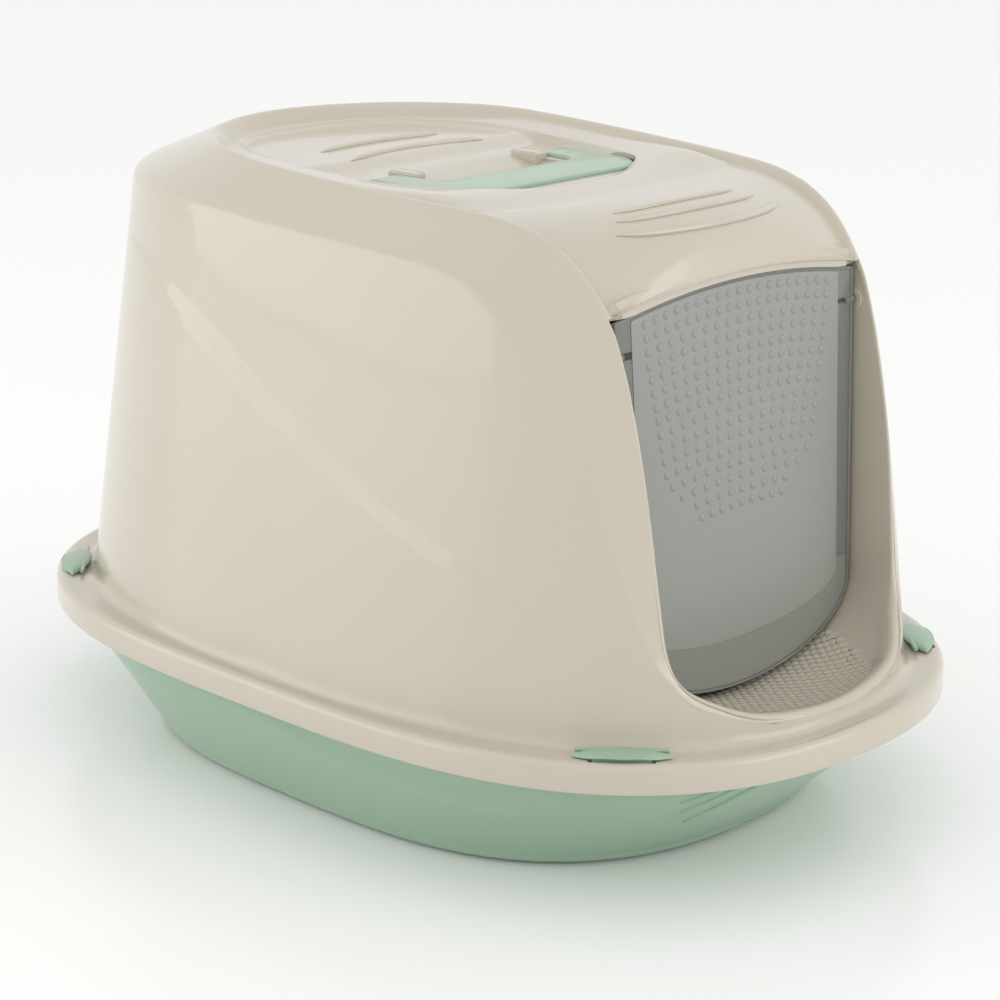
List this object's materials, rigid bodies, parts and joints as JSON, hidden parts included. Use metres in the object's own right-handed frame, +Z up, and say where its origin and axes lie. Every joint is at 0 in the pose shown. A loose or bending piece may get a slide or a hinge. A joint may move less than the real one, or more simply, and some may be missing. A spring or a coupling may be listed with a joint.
{
  "type": "cat litter box with hood",
  "caption": "Covered cat litter box: boat-shaped tray, lift-off domed hood with an oval roof recess, swinging clear door flap, folding carrying handle and rim clips.",
  "frame": {"origin": "centre of the tray's base, on the floor", "axes": "+Z up, the door faces -Y, +X to the right of the box seen from above with its door towards the viewer"},
  "size_m": [0.368, 0.57, 0.3555],
  "materials": {
    "green_polypropylene": "moulded, soft gloss",
    "beige_polypropylene": "moulded, gloss",
    "smoked_clear_plastic": "moulded, smoked clear",
    "carbon_foam": "open-cell foam"
  },
  "bodies": {
    "tray": {"tray": "green_polypropylene"},
    "hood": {"hood": "beige_polypropylene"},
    "door_flap": {"door_flap": "smoked_clear_plastic"},
    "carry_handle": {"carry_handle": "green_polypropylene"},
    "filter_holder": {"filter_holder": "green_polypropylene", "carbon_filter": "carbon_foam"},
    "latch_front_left": {"latch_front_left": "green_polypropylene"},
    "latch_front_right": {"latch_front_right": "green_polypropylene"},
    "latch_rear_left": {"latch_rear_left": "green_polypropylene"},
    "latch_rear_right": {"latch_rear_right": "green_polypropylene"}
  },
  "joints": [
    {"name": "hood_lift", "type": "slide", "parent": "tray", "child": "hood", "axis": [0, 0, 1], "range_m": [0, 0.3]},
    {"name": "door_swing", "type": "hinge", "parent": "hood", "child": "door_flap", "pos_m": [0, -0.19, 0.279], "axis": [1, 0, 0], "range_deg": [-80, 70]},
    {"name": "handle_fold", "type": "hinge", "parent": "hood", "child": "carry_handle", "pos_m": [0, 0.006, 0.3395], "axis": [-1, 0, 0], "range_deg": [0, 95]},
    {"name": "filter_swing", "type": "hinge", "parent": "hood", "child": "filter_holder", "pos_m": [0, 0.026, 0.315], "axis": [1, 0, 0], "range_deg": [0, 80]},
    {"name": "latch_front_left_rock", "type": "hinge", "parent": "hood", "child": "latch_front_left", "pos_m": [-0.12018, -0.22096, 0.0864], "axis": [-0.6626, 0.749, 0], "range_deg": [0, 12]},
    {"name": "latch_front_right_rock", "type": "hinge", "parent": "hood", "child": "latch_front_right", "pos_m": [0.12018, -0.22096, 0.0864], "axis": [-0.6626, -0.749, 0], "range_deg": [0, 12]},
    {"name": "latch_rear_left_rock", "type": "hinge", "parent": "hood", "child": "latch_rear_left", "pos_m": [-0.12018, 0.22096, 0.0864], "axis": [0.6626, 0.749, 0], "range_deg": [0, 12]},
    {"name": "latch_rear_right_rock", "type": "hinge", "parent": "hood", "child": "latch_rear_right", "pos_m": [0.12018, 0.22096, 0.0864], "axis": [0.6626, -0.749, 0], "range_deg": [0, 12]}
  ]
}
